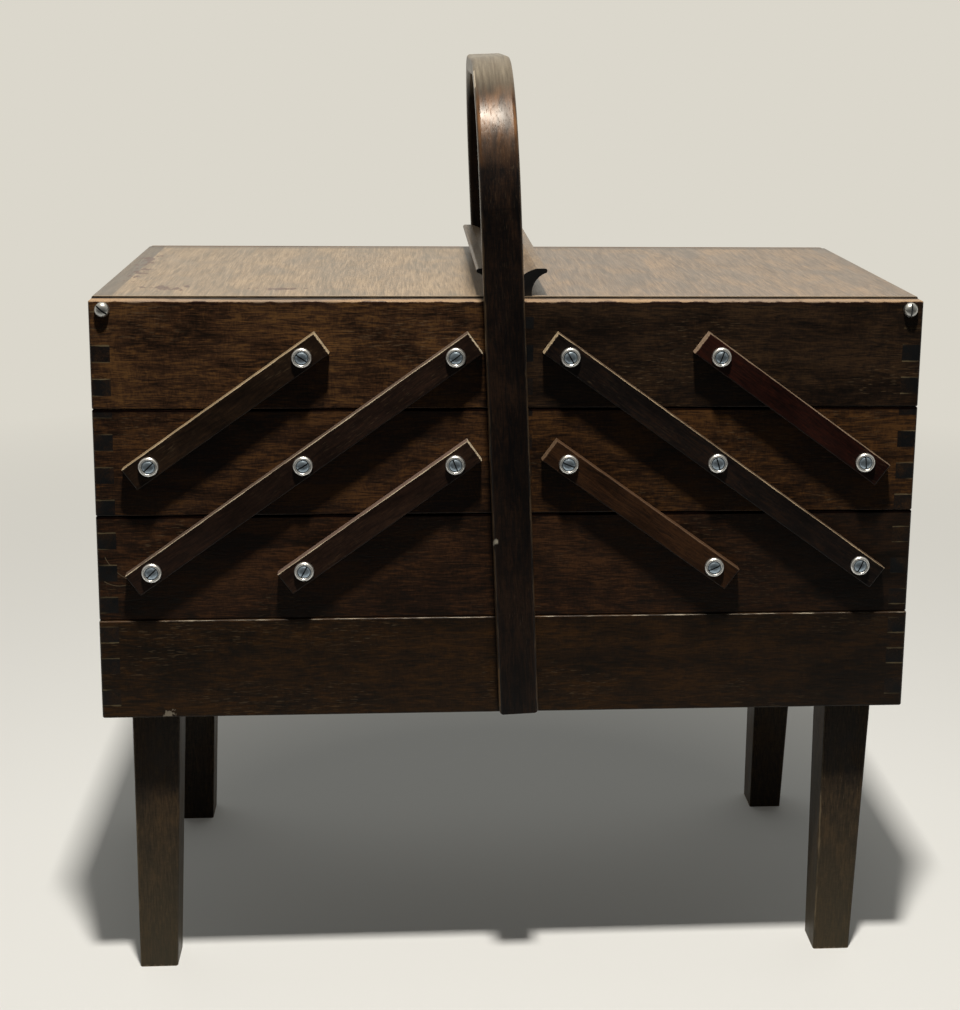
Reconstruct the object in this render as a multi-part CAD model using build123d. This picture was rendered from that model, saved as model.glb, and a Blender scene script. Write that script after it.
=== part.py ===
from build123d import *
import os
from math import atan2, cos, degrees, hypot, radians, sin

os.makedirs("parts", exist_ok=True)

# A sewing carrier on four legs. A deep base carries two trays on each side, one above the other.
# Flat bars hinge each pair of trays to the base, so that they rise and swing out to the side like
# a parallelogram. Two lids close the top trays, and a bentwood hoop carries the whole.
# Millimetres. The floor is z = 0, the middle of the box is x = y = 0, and the front faces -Y.

# ---- driving dimensions --------------------------------------------------------------------------

# Box and boards
BOX_WIDTH = 420.0
TRAY_DEPTH = 211.0          # over the front and back boards of the rim and the trays
BASE_PROUD = 1.2            # the base's front and back stand out this far, so the hoop clears the trays
BOARD = 10.0
BASE_HEIGHT = 52.5
TRAY_HEIGHT = 55.0          # rim, middle trays and top trays
TRAY_GAP = 0.3              # a closed tray over the one below
CENTRE_GAP = 1.0            # between the left and right trays
CORNER_R = 1.5              # worn upright corners
ARRIS_R = 0.8               # worn long edges

# Plywood bottoms, let into grooves
BOTTOM_RISE = 3.0           # lower face above the boards' lower edge
BOTTOM_THICK = 4.0
FLOOR_THICK = 6.0           # base floor, which holds the legs
GROOVE = 4.0

# Finger joints: the end boards' fingers show as end grain on the front
FINGER = 8.5
FINGER_PITCH = 17.0
FINGER_LEAST = 3.0          # a shorter remnant isn't cut
BASE_FINGER_START = 7.0
RIM_FINGER_START = 4.0
MID_FINGER_START = 0.0
TOP_FINGER_START = 7.0

# Bars and their pivots
PIVOT_INSET = 28.25         # a tray's outer and inner pivots from its ends; the third is midway
PIVOT_HEIGHT = 27.5         # above the tray's lower edge
BAR_WIDTH = 13.0
BAR_THICK = 6.0
BAR_OVERHANG = 12.0         # past the end pivots
BAR_GAP = 0.3               # bar to tray face
BAR_ARRIS = 0.6
RUN_FIT = 0.08              # radial clearance of a turning fit
FACE_FIT = 0.1              # clearance of flat faces that turn on each other

# Slotted screws and cup washers
SCREW_R = 2.0
SCREW_FIT = 0.05            # screw in wood or in a seat that doesn't turn
SCREW_BITE = 8.7            # into the tray board
SCREW_POINT = 3.0
HEAD_R = 3.2
HEAD_RISE = 1.1             # crown above the rim
CROWN_OUT = 0.6             # shoulder of the crown: share of the head's radius
CROWN_UP = 0.75             # and share of the crown's rise
SLOT_WIDTH = 0.9
SLOT_DEPTH = 0.9
SLOT_TURN = 37.0            # degrees between one screw's slot and the next one's
CUP_R = 5.3
CUP_HEIGHT = 2.0
CUP_BORE_R = 2.4
CUP_MOUTH_R = 3.8
CUP_LIP = 0.3               # the cone starts this far below the highest ring

# Lids
LID_THICK = 8.5
LID_PROUD = 0.8             # above the front and back boards
LID_SIDE_GAP = 0.8
LID_REST_GAP = 0.3          # over the inner end board
LID_CENTRE_GAP = 1.0        # inner edge to the middle of the box
LID_RAIL = 10.0             # solid rail at the outer end, which holds the pivot screws
LID_ARRIS = 1.0
LID_ROLL_R = 4.0            # lower outer edge, which rolls past the end board
LID_PIVOT_IN = 7.0          # from the outer end
LID_PIVOT_DROP = 4.3        # below the top of the tray
LID_STOP = 100.0            # degrees, where the rail meets the end board
LID_STOP_GAP = 0.2
LID_SCREW_R = 1.9
LID_SCREW_BITE = 12.0
LID_HEAD_R = 3.75
LID_HEAD_HEIGHT = 3.0
LID_HEAD_EDGE = 0.15        # share of the head's height that stands upright below its dome
LID_HEAD_GAP = 0.3

# Finger grips: mouldings with an overhanging tip
GRIP_FOOT = 9.2             # width where it sits on the lid
GRIP_BACK = 6.0             # height of the upright back
GRIP_HEIGHT = 14.1
GRIP_RIDGE = 11.7           # from the back to the highest line
GRIP_REACH = 17.0           # from the back to the tip
GRIP_TIP_R = 1.2
GRIP_HOLLOW = 1.6           # depth of the hollow under the tip

# Bentwood hoop
HOOP_WIDTH = 20.2
HOOP_THICK = 10.0
HOOP_RISE = 119.9           # top of the hoop above the box
HOOP_BEND_R = 72.0          # outer radius of each bend
HOOP_FOOT_UP = 3.0          # lower ends above the base's lower edge
HOOP_LEAN = 2.6             # degrees to the left, about the middle of the box's height
HOOP_SKEW = 3.2             # the back foot stands this far right of the front foot
HOOP_ARRIS = 2.0
HOOP_SCREWS_UP = (15.0, 38.0)
HOOP_SCREW_BITE = 8.0
HOOP_HEAD_R = 4.0
HOOP_HEAD_HEIGHT = 2.6

# Legs: the right-hand face and the face towards the middle taper, the other two stand upright
LEG_HEIGHT = 148.0          # floor to the base's lower edge
LEG_TOP = 25.0
LEG_FOOT = 20.0
LEG_INSET_X = 13.2          # from the box's ends
LEG_INSET_Y = 10.5          # from the tray faces
LEG_ARRIS = 1.2
LEG_SCREW_SPREAD = 10.0
LEG_SCREW_BITE = 28.0
LEG_HEAD_R = 4.0

# ---- derived places ------------------------------------------------------------------------------

half_width = BOX_WIDTH / 2
half_depth = TRAY_DEPTH / 2
inner_depth = half_depth - BOARD
base_half_depth = half_depth + BASE_PROUD
base_board = base_half_depth - inner_depth

base_z = LEG_HEIGHT
rim_z = base_z + BASE_HEIGHT
mid_z = rim_z + TRAY_HEIGHT + TRAY_GAP
top_z = mid_z + TRAY_HEIGHT + TRAY_GAP
box_top = top_z + TRAY_HEIGHT

# Left-hand places; the right-hand side is mirrored
tray_x = (-half_width, -CENTRE_GAP / 2)
middle_x = (tray_x[0] + tray_x[1]) / 2
outer_x = tray_x[0] + PIVOT_INSET
inner_x = tray_x[1] - PIVOT_INSET
link_reach = middle_x - outer_x
link_rise = TRAY_HEIGHT + TRAY_GAP
link_length = hypot(link_reach, link_rise)
bar_angle = degrees(atan2(link_rise, link_reach))
rim_pivots = (outer_x, middle_x)
mid_pivots = (outer_x, middle_x, inner_x)
top_pivots = (middle_x, inner_x)

lid_pivot = (-half_width + LID_PIVOT_IN, box_top - LID_PIVOT_DROP)
lid_top = box_top + LID_PROUD
lid_low = lid_top - LID_THICK
lid_half_depth = inner_depth - LID_SIDE_GAP
lid_inner_x = -LID_CENTRE_GAP
lid_roll_in = LID_PIVOT_IN - LID_ARRIS
lid_roll_up = lid_top - lid_pivot[1] - LID_ARRIS
stop = radians(LID_STOP)
lid_reach = lid_roll_in * sin(stop) - lid_roll_up * cos(stop) + LID_ARRIS
outer_end_height = lid_pivot[1] - lid_reach - LID_STOP_GAP - top_z
inner_end_height = lid_low - LID_REST_GAP - top_z

bar_face = half_depth + BAR_GAP + BAR_THICK
cup_face = bar_face + FACE_FIT
cup_lip = CUP_HEIGHT - CUP_LIP
head_rim = cup_lip - (CUP_MOUTH_R - HEAD_R) + SCREW_FIT
hoop_mid_z = (base_z + box_top) / 2
hoop_outer = base_half_depth + HOOP_THICK
hoop_skew = atan2(HOOP_SKEW, 2 * hoop_outer)
hoop_plane = Plane((HOOP_SKEW / 2, 0, 0), x_dir=(sin(hoop_skew), cos(hoop_skew), 0),
                   z_dir=(cos(hoop_skew), -sin(hoop_skew), 0))


# ---- helpers -------------------------------------------------------------------------------------

def span_box(x, y, z):
    """A box given by its (low, high) span along each axis."""
    centre = [(span[0] + span[1]) / 2 for span in (x, y, z)]
    return Pos(*centre) * Box(x[1] - x[0], y[1] - y[0], z[1] - z[0])


def turned(points):
    """A solid of revolution about Z from (radius, height) points."""
    corners = [(radius, 0, height) for radius, height in points]
    return revolve(make_face(Polyline(*corners, close=True)), Axis.Z)


def facing(shape, side, x, face, z):
    """Puts a shape made along +Z on the front (side -1) or back (+1), pointing outwards."""
    return Pos(x, side * face, z) * Rot(-90 * side, 0, 0) * shape


def both_faces(shape, x, face, z):
    """The same shape on the front and on the back."""
    return [facing(shape, side, x, face, z) for side in (-1, 1)]


def mirrored(shape):
    """The right-hand copy of a left-hand shape."""
    return mirror(shape, about=Plane.YZ)


def slotted(screw, head_r, top, turn):
    """Cuts a driver slot across a screw's head."""
    slot = Pos(0, 0, top) * Rot(0, 0, turn) * Box(2 * head_r + 1, SLOT_WIDTH, 2 * SLOT_DEPTH)
    return screw - slot


def save(name, *solids):
    """Writes one node as parts/name.step."""
    shape = solids[0] if len(solids) == 1 else Compound(children=list(solids))
    export_step(shape, f"parts/{name}.step")


# ---- boxes with finger joints --------------------------------------------------------------------

def finger_spans(start, height):
    """Heights of an end board's fingers above its lower edge."""
    spans = []
    low = start
    while low + FINGER_LEAST <= height:
        spans.append((low, min(low + FINGER, height)))
        low += FINGER_PITCH
    return spans


def worn_block(x, depth, z):
    """The outline of a whole tray, with its outer corners and long edges worn round."""
    block = span_box(x, (-depth, depth), z)
    block = fillet(block.edges().filter_by(Axis.Z), CORNER_R)
    faces = block.faces().sort_by(Axis.Z)
    return fillet(faces[0].edges() + faces[-1].edges(), ARRIS_R)


def end_board(x, depth, z, height, start):
    """An end board: its body lies between the long boards, and its fingers reach their faces."""
    board = span_box(x, (-inner_depth, inner_depth), (z, z + height))
    for low, high in finger_spans(start, height):
        board += span_box(x, (-depth, depth), (z + low, z + high))
    return board


def box_boards(x, depth, z, height, start, end_heights, bottom_thick=None):
    """The boards of a tray: front, back, low-x end, high-x end and, if asked for, the bottom."""
    block = worn_block(x, depth, (z, z + height))
    end_spans = ((x[0], x[0] + BOARD), (x[1] - BOARD, x[1]))
    ends = [end_board(span, depth, z, end_height, start)
            for span, end_height in zip(end_spans, end_heights)]
    front = span_box(x, (-depth, -inner_depth), (z, z + height))
    for span, end_height in zip(end_spans, end_heights):
        for low, high in finger_spans(start, end_height):
            front -= span_box(span, (-depth, -inner_depth), (z + low, z + high))
    boards = [front, mirror(front, about=Plane.XZ)] + ends
    if bottom_thick:
        inside = BOARD - GROOVE
        groove_y = inner_depth + GROOVE
        low = z + BOTTOM_RISE
        bottom = span_box((x[0] + inside, x[1] - inside), (-groove_y, groove_y), (low, low + bottom_thick))
        boards = [board - bottom for board in boards] + [bottom]
    return [board & block for board in boards]


def pilot_holes(pivots, z):
    """Holes for the pivot screws in a tray's front and back boards."""
    hole = Pos(0, 0, -SCREW_BITE / 2 - SCREW_FIT) * Cylinder(SCREW_R + SCREW_FIT, SCREW_BITE + 2 * SCREW_FIT)
    return [drill for x in pivots for drill in both_faces(hole, x, half_depth, z + PIVOT_HEIGHT)]


def base_box():
    """The fixed lower box, bored for the leg screws and the hoop screws."""
    boards = box_boards((-half_width, half_width), base_half_depth, base_z, BASE_HEIGHT,
                        BASE_FINGER_START, (BASE_HEIGHT, BASE_HEIGHT), FLOOR_THICK)
    front, back, left, right, floor = boards
    for hole in hoop_screw_places(hoop_screw_hole()):
        front -= hole
        back -= hole
    for screw in leg_screws(SCREW_FIT):
        floor -= screw
    save("base_front_board", front)
    save("base_back_board", back)
    save("base_left_end", left)
    save("base_right_end", right)
    save("base_floor", floor)


def rim_box():
    """The upper storey of the base: four boards with no bottom, glued on the lower box."""
    boards = box_boards((-half_width, half_width), half_depth, rim_z, TRAY_HEIGHT,
                        RIM_FINGER_START, (TRAY_HEIGHT, TRAY_HEIGHT))
    holes = pilot_holes(rim_pivots, rim_z)
    holes += [mirrored(hole) for hole in holes]
    front, back, left, right = boards
    for hole in holes:
        front -= hole
        back -= hole
    save("rim_front_board", front)
    save("rim_back_board", back)
    save("rim_left_end", left)
    save("rim_right_end", right)


def tray(level, z, start, end_heights, pivots, extra_holes=()):
    """A left tray and its mirrored right one."""
    boards = box_boards(tray_x, half_depth, z, TRAY_HEIGHT, start, end_heights, BOTTOM_THICK)
    front, back, outer, inner, bottom = boards
    for hole in pilot_holes(pivots, z) + list(extra_holes):
        front -= hole
        back -= hole
    names = ("front_board", "back_board", "outer_end", "inner_end", "bottom")
    for name, board in zip(names, (front, back, outer, inner, bottom)):
        save(f"left_{level}_tray_{name}", board)
        save(f"right_{level}_tray_{name}", mirrored(board))


# ---- bars, screws and cup washers ----------------------------------------------------------------

def bar(links):
    """A flat bar with a hole at each pivot, its lower pivot at the origin, lying along +X."""
    length = links * link_length + 2 * BAR_OVERHANG
    plate = Pos(length / 2 - BAR_OVERHANG, 0, BAR_THICK / 2) * Box(length, BAR_WIDTH, BAR_THICK)
    outer_edges = plate.faces().sort_by(Axis.Z)[-1].edges()
    plate = fillet(outer_edges, BAR_ARRIS)
    for pivot in range(links + 1):
        plate -= Pos(pivot * link_length, 0, BAR_THICK / 2) * Cylinder(SCREW_R + RUN_FIT, 2 * BAR_THICK)
    return plate


def bars():
    """Three bars on each face of each side: two short ones and a long one that spans three tiers."""
    kinds = (("upper", 1, outer_x, mid_z), ("long", 2, outer_x, rim_z), ("lower", 1, middle_x, rim_z))
    for kind, links, x, z in kinds:
        front = facing(Rot(0, 0, bar_angle) * bar(links), -1, x, half_depth + BAR_GAP, z + PIVOT_HEIGHT)
        back = mirror(front, about=Plane.XZ)
        for face, shape in (("front", front), ("back", back)):
            save(f"left_{face}_{kind}_bar", shape)
            save(f"right_{face}_{kind}_bar", mirrored(shape))


def cup_washer():
    """A turned cup with a rounded shoulder and a cone that seats the screw's head."""
    seat = CUP_MOUTH_R - CUP_BORE_R
    shoulder = CUP_HEIGHT / 3
    return turned([(CUP_BORE_R, 0), (CUP_R, 0), (CUP_R, shoulder), (CUP_R - shoulder / 2, 2 * shoulder),
                   (CUP_MOUTH_R + shoulder, CUP_HEIGHT), (CUP_MOUTH_R, cup_lip),
                   (CUP_BORE_R, cup_lip - seat)])


def pivot_screw(turn):
    """A slotted raised-head wood screw that passes a bar and bites into the tray. z = 0 is the bar's face."""
    tip = -(BAR_THICK + BAR_GAP + SCREW_BITE + FACE_FIT)
    neck = head_rim - (HEAD_R - SCREW_R)
    top = head_rim + HEAD_RISE
    screw = turned([(0, tip), (SCREW_R, tip + SCREW_POINT), (SCREW_R, neck), (HEAD_R, head_rim),
                    (CROWN_OUT * HEAD_R, head_rim + CROWN_UP * HEAD_RISE), (0, top)])
    return slotted(screw, HEAD_R, top, turn)


def pivot_fasteners(pivots, z, first_turn):
    """Screws and cup washers at one tray's pivots, front and back."""
    solids = []
    for index, x in enumerate(pivots):
        screw = pivot_screw(first_turn + index * SLOT_TURN)
        for shape in (screw, cup_washer()):
            solids += both_faces(shape, x, cup_face, z + PIVOT_HEIGHT)
    return solids


def all_pivot_fasteners():
    """The fasteners of each tray; the rim's share one node, because the base carries both sides."""
    base_set = pivot_fasteners(rim_pivots, rim_z, SLOT_TURN)
    save("base_pivot_fasteners", *base_set, *[mirrored(solid) for solid in base_set])
    for level, pivots, z in (("mid", mid_pivots, mid_z), ("top", top_pivots, top_z)):
        tray_set = pivot_fasteners(pivots, z, 2 * SLOT_TURN)
        save(f"left_{level}_pivot_fasteners", *tray_set)
        save(f"right_{level}_pivot_fasteners", *[mirrored(solid) for solid in tray_set])


# ---- lids ----------------------------------------------------------------------------------------

def lid_screw_hole(radius, length):
    """A bore along a lid's pivot axis, from the tray's face inwards."""
    return Pos(0, 0, -length / 2) * Cylinder(radius, length)


def lid_pivot_holes():
    """Clearance holes through the top tray's front and back boards."""
    hole = lid_screw_hole(LID_SCREW_R + RUN_FIT, 3 * BOARD)
    return both_faces(hole, lid_pivot[0], half_depth, lid_pivot[1])


def lid_screw():
    """A slotted round-head screw. z = 0 is the tray's face, and the head stands a little off it."""
    tip = -(BOARD + LID_SIDE_GAP + LID_SCREW_BITE)
    top = LID_HEAD_GAP + LID_HEAD_HEIGHT
    dome_low = LID_HEAD_GAP + LID_HEAD_EDGE * LID_HEAD_HEIGHT
    dome = [(LID_HEAD_R * cos(radians(step)), dome_low + (top - dome_low) * sin(radians(step)))
            for step in (0, 30, 60)]
    profile = [(0, tip), (LID_SCREW_R, tip + SCREW_POINT), (LID_SCREW_R, LID_HEAD_GAP)]
    profile += [(LID_HEAD_R, LID_HEAD_GAP)] + dome + [(0, top)]
    return slotted(turned(profile), LID_HEAD_R, top, SLOT_TURN)


def lid_grip():
    """A moulding along the lid's inner edge, hollowed on its outer side so that a finger lifts it."""
    back = lid_inner_x
    foot = (back - GRIP_FOOT, 0)
    under = (back - GRIP_REACH + GRIP_TIP_R, GRIP_HEIGHT - 2 * GRIP_TIP_R)
    tip = (back - GRIP_REACH, GRIP_HEIGHT - GRIP_TIP_R)
    over = (back - GRIP_REACH + GRIP_TIP_R, GRIP_HEIGHT)
    ridge = (back - GRIP_RIDGE, GRIP_HEIGHT)
    brow = ((back + ridge[0]) / 2, (GRIP_BACK + GRIP_HEIGHT) / 2 + GRIP_HOLLOW)
    hollow = ((foot[0] + under[0]) / 2 + GRIP_HOLLOW, under[1] / 2 + GRIP_HOLLOW)
    outline = Line((back, 0), foot) + ThreePointArc(foot, hollow, under) + ThreePointArc(under, tip, over)
    outline += Line(over, ridge) + ThreePointArc(ridge, brow, (back, GRIP_BACK))
    outline += Line((back, GRIP_BACK), (back, 0))
    section = Pos(0, lid_half_depth, lid_top) * (Plane.XZ * make_face(outline))
    return extrude(section, 2 * lid_half_depth, dir=(0, -1, 0))


def lid_rail():
    """The solid rail at the lid's outer end: its lower outer edge is rolled, and its ends are bored."""
    rail = span_box((-half_width, -half_width + LID_RAIL), (-lid_half_depth, lid_half_depth),
                    (lid_low, lid_top))
    outer_edges = rail.edges().filter_by(Axis.Y).group_by(Axis.X)[0].sort_by(Axis.Z)
    rail = fillet(outer_edges[0], LID_ROLL_R)
    top_edge = rail.faces().sort_by(Axis.Z)[-1].edges().filter_by(Axis.Y).sort_by(Axis.X)[0]
    rail = fillet(top_edge, LID_ARRIS)
    bore = lid_screw_hole(LID_SCREW_R + SCREW_FIT, BOARD + LID_SIDE_GAP + LID_SCREW_BITE + SCREW_FIT)
    for hole in both_faces(bore, lid_pivot[0], half_depth, lid_pivot[1]):
        rail -= hole
    return rail


def lids():
    """Each lid is a panel with a rail glued to its outer end, and turns on two screws."""
    panel = span_box((-half_width + LID_RAIL, lid_inner_x), (-lid_half_depth, lid_half_depth),
                     (lid_low, lid_top))
    screws = both_faces(lid_screw(), lid_pivot[0], half_depth, lid_pivot[1])
    for name, solids in (("panel", [panel]), ("rail", [lid_rail()]), ("grip", [lid_grip()]),
                         ("pivot_screws", screws)):
        save(f"left_lid_{name}", *solids)
        save(f"right_lid_{name}", *[mirrored(solid) for solid in solids])


# ---- hoop ----------------------------------------------------------------------------------------

def leaning(shape):
    """Leans a shape to the left with the hoop, in the plane of the box's front."""
    return Pos(0, 0, hoop_mid_z) * Rot(0, -HOOP_LEAN, 0) * Pos(0, 0, -hoop_mid_z) * shape


def hoop_outline(reach, top, radius):
    """An arch from front to back: upright sides, a quarter bend at each shoulder, a flat top."""
    foot = base_z + HOOP_FOOT_UP
    arch = Pos(0, (foot + top) / 2) * Rectangle(2 * reach / cos(hoop_skew), top - foot)
    return hoop_plane * fillet(arch.vertices().group_by(Axis.Y)[-1], radius)


def hoop_screw_places(shape):
    """The hoop's screws, two at each foot, pointing inwards from the base."""
    return [leaning(facing(shape, side, HOOP_SKEW if side > 0 else 0, inner_depth, base_z + up))
            for side in (-1, 1) for up in HOOP_SCREWS_UP]


def hoop_screw_hole():
    """A bore from the base's inner face into the hoop."""
    length = base_board + HOOP_SCREW_BITE + SCREW_FIT
    return Pos(0, 0, length / 2) * Cylinder(SCREW_R + SCREW_FIT, length)


def hoop_screw():
    """A slotted round-head screw driven outwards from inside the base."""
    tip = base_board + HOOP_SCREW_BITE
    screw = turned([(0, tip), (SCREW_R, tip - SCREW_POINT), (SCREW_R, 0), (HOOP_HEAD_R, 0),
                    (CROWN_OUT * HOOP_HEAD_R, -CROWN_UP * HOOP_HEAD_HEIGHT), (0, -HOOP_HEAD_HEIGHT)])
    return slotted(screw, HOOP_HEAD_R, -HOOP_HEAD_HEIGHT, SLOT_TURN)


def hoop():
    """The bentwood handle: one strap that runs from the base's front over the top to its back."""
    outer = hoop_outline(hoop_outer, box_top + HOOP_RISE, HOOP_BEND_R)
    inner_top = box_top + HOOP_RISE - HOOP_THICK
    inner = hoop_outline(hoop_outer - HOOP_THICK, inner_top, HOOP_BEND_R - HOOP_THICK)
    strap = Pos(-HOOP_WIDTH / 2, 0, 0) * extrude(outer - inner, HOOP_WIDTH, dir=(1, 0, 0))
    sides = strap.faces().filter_by(hoop_plane)
    strap = fillet([edge for side in sides for edge in side.edges()], HOOP_ARRIS)
    strap = leaning(strap)
    for hole in hoop_screw_places(hoop_screw_hole()):
        strap -= hole
    save("handle_hoop", strap)


# ---- legs ----------------------------------------------------------------------------------------

def leg_places():
    """Each leg's name, the x of its left face at the top and its side: front -1, back +1."""
    left_x = -half_width + LEG_INSET_X
    right_x = half_width - LEG_INSET_X - LEG_TOP
    return (("front_left_leg", left_x, -1), ("front_right_leg", right_x, -1),
            ("back_left_leg", left_x, 1), ("back_right_leg", right_x, 1))


def leg(left_x, side):
    """A square leg that tapers on its right-hand face and on the face towards the box's middle."""
    top = base_z + BOTTOM_RISE
    outer_y = half_depth - LEG_INSET_Y
    taper = [(0, 0), (LEG_FOOT, 0), (LEG_TOP, top), (0, top)]
    front_view = make_face(Polyline(*[(left_x + width, 0, z) for width, z in taper], close=True))
    side_view = make_face(Polyline(*[(0, -outer_y + width, z) for width, z in taper], close=True))
    post = extrude(front_view, half_depth, dir=(0, -1, 0)) & extrude(side_view, half_width, both=True)
    upright = [edge for edge in post.edges() if edge.length > LEG_HEIGHT]
    post = fillet(upright, LEG_ARRIS)
    return post if side < 0 else mirror(post, about=Plane.XZ)


def leg_screw(fit):
    """A countersunk screw from the base's floor down into a leg, or with a fit the bore for it."""
    floor_top = base_z + BOTTOM_RISE + FLOOR_THICK
    radius = SCREW_R + fit
    head_r = LEG_HEAD_R + fit
    tip = floor_top - FLOOR_THICK - LEG_SCREW_BITE - fit
    return turned([(0, tip), (radius, tip + SCREW_POINT), (radius, floor_top - (head_r - radius)),
                   (head_r, floor_top), (0, floor_top)])


def leg_screws(fit):
    """Two screws to a leg, set across its top."""
    middle_y = half_depth - LEG_INSET_Y - LEG_TOP / 2
    return [Pos(left_x + LEG_TOP / 2 + across, side * middle_y, 0) * leg_screw(fit)
            for _, left_x, side in leg_places()
            for across in (-LEG_SCREW_SPREAD / 2, LEG_SCREW_SPREAD / 2)]


def legs():
    """Four legs, bored for their screws."""
    bores = leg_screws(SCREW_FIT)
    for name, left_x, side in leg_places():
        post = leg(left_x, side)
        for bore in bores:
            post -= bore
        save(name, post)


def base_screws():
    """The screws driven from inside the base: eight down into the legs and four out into the hoop."""
    slot_z = base_z + BOTTOM_RISE + FLOOR_THICK
    screws = leg_screws(0)
    slots = [Pos(screw.center().X, screw.center().Y, slot_z) * Box(2 * LEG_HEAD_R, SLOT_WIDTH, 2 * SLOT_DEPTH)
             for screw in screws]
    slotted_screws = [screw - slot for screw, slot in zip(screws, slots)]
    save("base_screws", *slotted_screws, *hoop_screw_places(hoop_screw()))


base_box()
rim_box()
tray("mid", mid_z, MID_FINGER_START, (TRAY_HEIGHT, TRAY_HEIGHT), mid_pivots)
tray("top", top_z, TOP_FINGER_START, (outer_end_height, inner_end_height), top_pivots, lid_pivot_holes())
bars()
all_pivot_fasteners()
lids()
hoop()
legs()
base_screws()
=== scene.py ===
import math
import bpy
from mathutils import Matrix, Vector


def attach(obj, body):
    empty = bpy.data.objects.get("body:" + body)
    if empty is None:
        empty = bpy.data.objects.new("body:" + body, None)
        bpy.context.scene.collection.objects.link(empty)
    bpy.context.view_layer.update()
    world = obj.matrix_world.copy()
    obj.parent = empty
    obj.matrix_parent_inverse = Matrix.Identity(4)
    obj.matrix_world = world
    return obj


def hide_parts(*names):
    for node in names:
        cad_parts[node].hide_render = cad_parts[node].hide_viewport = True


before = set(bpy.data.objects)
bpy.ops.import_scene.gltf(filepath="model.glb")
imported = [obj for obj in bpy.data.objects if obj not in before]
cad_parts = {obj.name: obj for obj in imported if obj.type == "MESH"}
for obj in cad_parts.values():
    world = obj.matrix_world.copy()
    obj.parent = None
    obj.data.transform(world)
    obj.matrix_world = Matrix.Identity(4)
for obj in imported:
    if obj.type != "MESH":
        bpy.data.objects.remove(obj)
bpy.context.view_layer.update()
bpy.context.scene.view_settings.view_transform = "Standard"

# ---- Base and rim -------------------------------------------------------------------------------
# The fixed lower box and the rim glued on it are planks of dark stained hardwood, finger jointed
# at the corners and brush varnished.

HALF_WIDTH, HALF_DEPTH = 210.0, 105.5       # outside of the rim and the trays, in millimetres
BASE_HALF_DEPTH = 106.7                     # the base stands proud of them at the front and back
BOARD, FINGER = 10.0, 8.5                   # a board's thickness and a corner finger's width
BASE_FOOT, RIM_FOOT = 148.0, 200.5          # lower edges
TIER = 55.0                                 # height of the rim or of a tray
BASE_LINE, RIM_LINE = 155.0, 204.5          # lowest joint between two fingers
NORMAL, OBJECT = 1, 3                       # outputs of a Texture Coordinate node
Y, Z = 1, 2                                 # outputs of a Separate XYZ node


def linear(hex_colour):
    """An sRGB hex colour as linear RGBA."""
    values = [int(hex_colour[i:i + 2], 16) / 255 for i in (1, 3, 5)]
    return [v / 12.92 if v <= 0.04045 else ((v + 0.055) / 1.055) ** 2.4 for v in values] + [1.0]


def add(tree, kind, *feeds, out=0, **settings):
    """Adds a node, sets it, feeds its sockets in order with links or values, and returns one output."""
    node = tree.nodes.new("ShaderNode" + kind)
    for name, value in settings.items():
        setattr(node, name, value)
    for socket, feed in zip([socket for socket in node.inputs if socket.enabled], feeds):
        if isinstance(feed, bpy.types.NodeSocket):
            tree.links.new(feed, socket)
        elif feed is not None:
            socket.default_value = feed
    return [socket for socket in node.outputs if socket.enabled][out]


def grain(tree, place, axis, length, width, detail=3.0, bend=0.0):
    """The wood's figure at one size: length along the grain's axis, width across it, in millimetres."""
    cells = [1 / length if name == axis else 1 / width for name in "xyz"]
    spot = add(tree, "Mapping", place, (0.37 * length, 0.71 * width, 0.53 * width), None, cells)
    return add(tree, "TexNoise", spot, 1.0, detail, 0.55, 2.0, bend)


def edge_distance(tree, place, centre, half):
    """Millimetres from the nearest edge of a box, mirrored left to right and front to back."""
    folded = add(tree, "VectorMath", place, operation="ABSOLUTE")
    offset = add(tree, "VectorMath", folded, centre, operation="SUBTRACT")
    offset = add(tree, "VectorMath", offset, operation="ABSOLUTE")
    inside = add(tree, "VectorMath", half, offset, operation="SUBTRACT")
    x, y, z = add(tree, "SeparateXYZ", inside).node.outputs
    nearer = add(tree, "Math", x, y, operation="MINIMUM")
    farther = add(tree, "Math", add(tree, "Math", x, y, operation="MAXIMUM"), z, operation="MINIMUM")
    return add(tree, "Math", nearer, farther, operation="MAXIMUM")


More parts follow.
